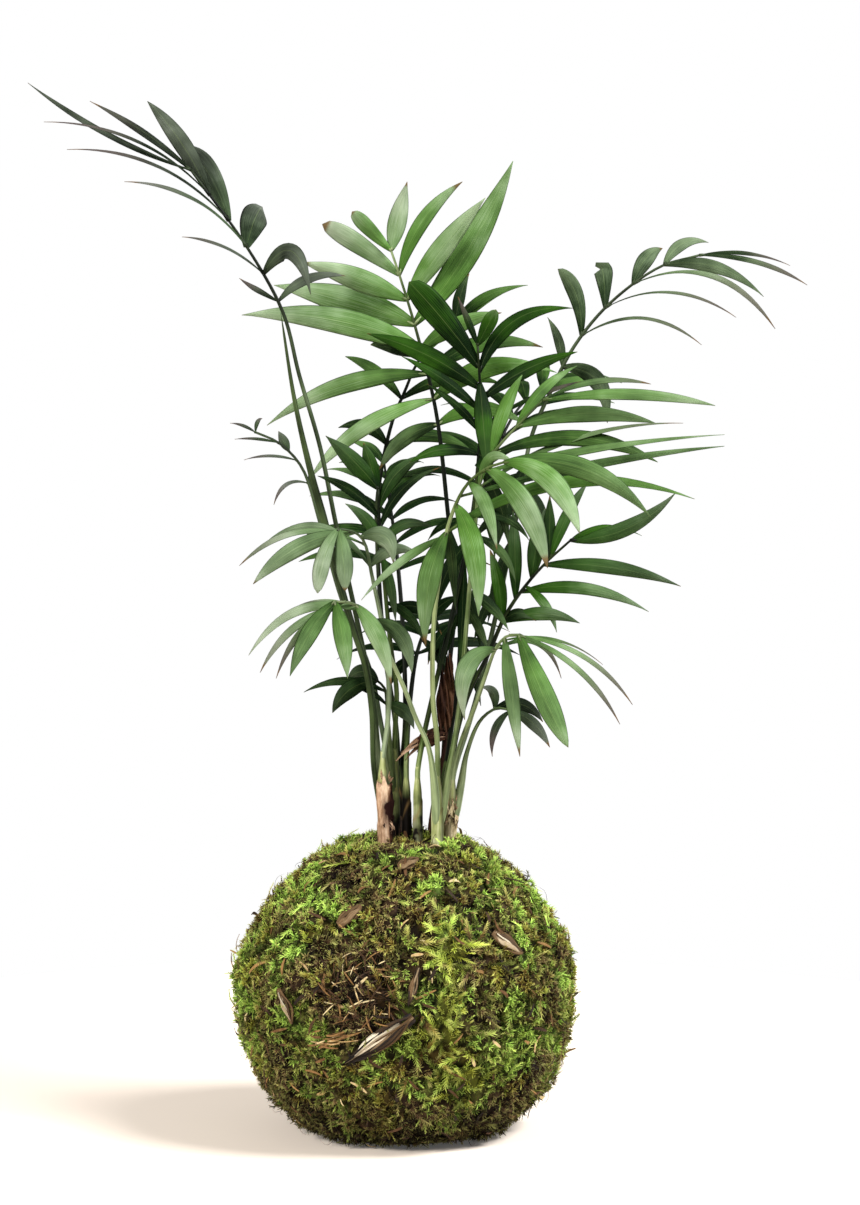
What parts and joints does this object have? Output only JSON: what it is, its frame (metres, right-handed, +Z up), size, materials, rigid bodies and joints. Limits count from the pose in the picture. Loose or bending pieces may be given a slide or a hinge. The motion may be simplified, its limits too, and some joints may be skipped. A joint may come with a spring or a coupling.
{
  "type": "kokedama moss ball plant",
  "caption": "Moss-covered soil ball resting on a small flat spot, with a young feather-leaved palm growing from its top",
  "frame": {"origin": "centre of the small flat spot that the ball rests on, under the ball's middle", "axes": "+Z up along the stems, -Y towards the viewer of the front, +X to the right seen from the front"},
  "size_m": [0.3355, 0.2169, 0.4563],
  "materials": {
    "moss": "rough living moss, green to brown",
    "soil": "damp crumbly soil",
    "stem": "smooth waxy green",
    "leaf": "satin leaf with fine parallel veins",
    "leaf_dark": "satin dark leaf with fine parallel veins",
    "dry": "papery dry leaf base",
    "bark": "weathered bark and dry leaf"
  },
  "bodies": {
    "root": {"soil_core": "soil", "moss_wrap": "moss", "flake_low": "bark", "flake_upright": "bark", "flake_left": "bark", "flake_right": "bark", "flake_high": "bark", "flake_crown": "bark", "dry_sheath_left": "dry", "dry_sheath_right": "dry", "dry_leaf": "dry", "spear_leaf": "stem", "stem_a": "stem", "stem_b": "stem", "stem_c": "stem", "stem_d": "stem", "stem_e": "stem", "stem_f": "stem", "stem_g": "stem", "stem_h": "stem", "frond_far_left": "leaf_dark", "frond_tall_centre": "leaf", "frond_dark_centre": "leaf_dark", "frond_right_arching": "leaf", "frond_right_middle": "leaf", "frond_front": "leaf", "frond_right_low": "leaf_dark", "frond_front_right": "leaf", "frond_small_right": "leaf_dark", "frond_left_fan": "leaf", "frond_low_left": "leaf", "frond_small_left": "leaf_dark", "frond_thin_left": "leaf_dark", "frond_mid_left": "leaf_dark", "frond_back_left": "leaf", "frond_back_centre": "leaf", "frond_back_right": "leaf", "frond_back_low": "leaf_dark"}
  },
  "joints": []
}
